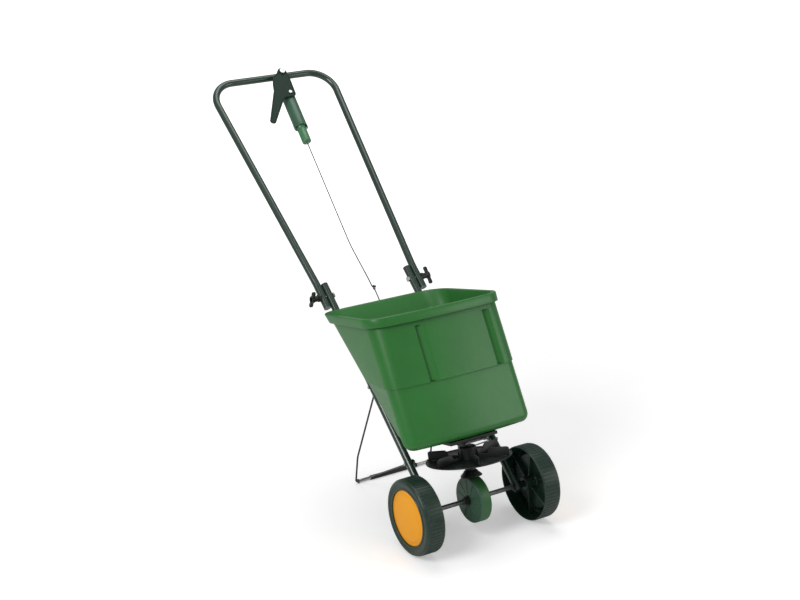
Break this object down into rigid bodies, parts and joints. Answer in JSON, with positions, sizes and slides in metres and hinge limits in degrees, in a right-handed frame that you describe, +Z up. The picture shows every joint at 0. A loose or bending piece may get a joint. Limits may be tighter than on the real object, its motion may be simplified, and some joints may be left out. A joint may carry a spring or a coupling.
{
  "type": "garden spreader",
  "caption": "Walk-behind rotary garden spreader: tapered open hopper over a wheel-driven impeller, folding tube handle with a shutter lever, wire foot.",
  "frame": {"origin": "centre of the bounding box's footprint, on the floor that the parked machine stands on", "axes": "+Z up, the machine drives towards -Y and its handle leans back towards +Y, +X is to its left as it drives"},
  "size_m": [0.404, 1.1938, 1.0147],
  "materials": {
    "hopper": "moulded green polypropylene with a light orange-peel sheen",
    "tube": "dark green powder-coated steel tube",
    "wheel": "satin dark green moulded wheel",
    "cap": "orange moulded cap",
    "black_plastic": "black moulded plastic",
    "gearbox_left": "grey-green moulded casing half",
    "gearbox_right": "green moulded casing half",
    "lever": "dark green painted pressing",
    "barrel": "green moulded barrel",
    "dial": "brighter green moulded dial",
    "steel": "zinc-plated steel",
    "wire": "black coated steel wire",
    "dark_steel": "plain dark steel wire",
    "gear": "natural acetal gear"
  },
  "bodies": {
    "frame": {"hopper": "hopper", "base_plate": "black_plastic", "lower_leg_left": "tube", "lower_leg_right": "tube", "leg_plug_left": "black_plastic", "leg_plug_right": "black_plastic", "axle_bush_left": "black_plastic", "axle_bush_right": "black_plastic", "gearbox_left": "gearbox_left", "gearbox_right": "gearbox_right", "gearbox_bush_left": "black_plastic", "gearbox_bush_right": "black_plastic", "gearbox_hood": "black_plastic", "hopper_bolts": "steel", "fold_bolt_left": "steel", "fold_bolt_right": "steel", "stand_strut_left": "wire", "stand_strut_right": "wire", "stand_brace_left": "dark_steel", "stand_brace_right": "dark_steel", "stand_bolts": "steel", "foot_bar": "steel", "foot_sleeve": "black_plastic", "crank_pin": "steel"},
    "axle": {"axle": "dark_steel", "crown_gear": "gear", "wheel_right": "wheel", "wheel_cap_right": "cap", "drive_pin": "steel", "gear_pin": "steel", "axle_spacers": "black_plastic", "axle_clips": "steel"},
    "wheel_left": {"wheel_left": "wheel", "wheel_cap_left": "cap"},
    "impeller": {"drive_shaft": "steel", "pinion": "gear", "impeller": "black_plastic", "impeller_pin": "steel", "agitator": "black_plastic"},
    "handle": {"upper_handle": "tube", "saddle_washers": "black_plastic", "pivot_saddle": "lever", "pivot_bolt": "steel"},
    "wing_knob_left": {"wing_knob_left": "black_plastic"},
    "wing_knob_right": {"wing_knob_right": "black_plastic"},
    "lever": {"hand_lever": "lever", "barrel_pin": "steel"},
    "rate_barrel": {"rate_barrel": "barrel", "control_rod": "dark_steel", "rod_collar": "steel"},
    "rate_dial": {"rate_dial": "dial"},
    "link_rod": {"link_rod": "dark_steel"},
    "shutter_crank": {"shutter_crank": "dark_steel"},
    "shutter": {"shutter_plate": "dark_steel"}
  },
  "joints": [
    {"name": "axle_spin", "type": "hinge", "parent": "frame", "child": "axle", "pos_m": [0, -0.49722, 0.1], "axis": [1, 0, 0], "continuous": true},
    {"name": "wheel_left_spin", "type": "hinge", "parent": "axle", "child": "wheel_left", "pos_m": [0, -0.49722, 0.1], "axis": [1, 0, 0], "continuous": true},
    {"name": "impeller_spin", "type": "hinge", "parent": "frame", "child": "impeller", "pos_m": [0, -0.47168, 0.19668], "axis": [0, 0.2554, 0.9668], "continuous": true},
    {"name": "handle_fold", "type": "hinge", "parent": "frame", "child": "handle", "pos_m": [0, 0.01047, 0.51702], "axis": [1, 0, 0], "range_deg": [0, 120]},
    {"name": "wing_knob_left_turn", "type": "hinge", "parent": "frame", "child": "wing_knob_left", "pos_m": [-0.17, 0.01047, 0.51702], "axis": [1, 0, 0], "range_deg": [0, 360]},
    {"name": "wing_knob_right_turn", "type": "hinge", "parent": "frame", "child": "wing_knob_right", "pos_m": [0.17, 0.01047, 0.51702], "axis": [1, 0, 0], "range_deg": [0, 360]},
    {"name": "lever_swing", "type": "hinge", "parent": "handle", "child": "lever", "pos_m": [0.035, 0.58306, 0.98735], "axis": [0, 0.6347, -0.7727], "range_deg": [0, 34.5]},
    {"name": "barrel_swing", "type": "hinge", "parent": "lever", "child": "rate_barrel", "pos_m": [0.03, 0.52433, 0.93911], "axis": [0, 0.6347, -0.7727], "range_deg": [-38.51, 0.1]},
    {"name": "rate_dial_turn", "type": "hinge", "parent": "rate_barrel", "child": "rate_dial", "pos_m": [0.02114, 0.40863, 0.84407], "axis": [0.0591, 0.7714, 0.6336], "range_deg": [0, 300]},
    {"name": "link_slide", "type": "slide", "parent": "frame", "child": "link_rod", "axis": [0, 0.7072, 0.707], "range_m": [-0.0001, 0.01679]},
    {"name": "crank_turn", "type": "hinge", "parent": "frame", "child": "shutter_crank", "pos_m": [0, -0.32077, 0.23542], "axis": [1, 0, 0], "range_deg": [-0.1, 26.97]},
    {"name": "shutter_slide", "type": "slide", "parent": "frame", "child": "shutter", "axis": [0, 0.9668, -0.2554], "range_m": [-0.0001, 0.01316]}
  ],
  "couplings": [
    {"joint": "impeller_spin", "follows": "axle_spin", "ratio": 5},
    {"joint": "barrel_swing", "follows": "lever_swing", "ratio": -1.1053},
    {"joint": "link_slide", "follows": "lever_swing", "m_per_rad": 0.027609},
    {"joint": "crank_turn", "follows": "lever_swing", "ratio": 0.77391},
    {"joint": "shutter_slide", "follows": "lever_swing", "m_per_rad": 0.02164}
  ]
}
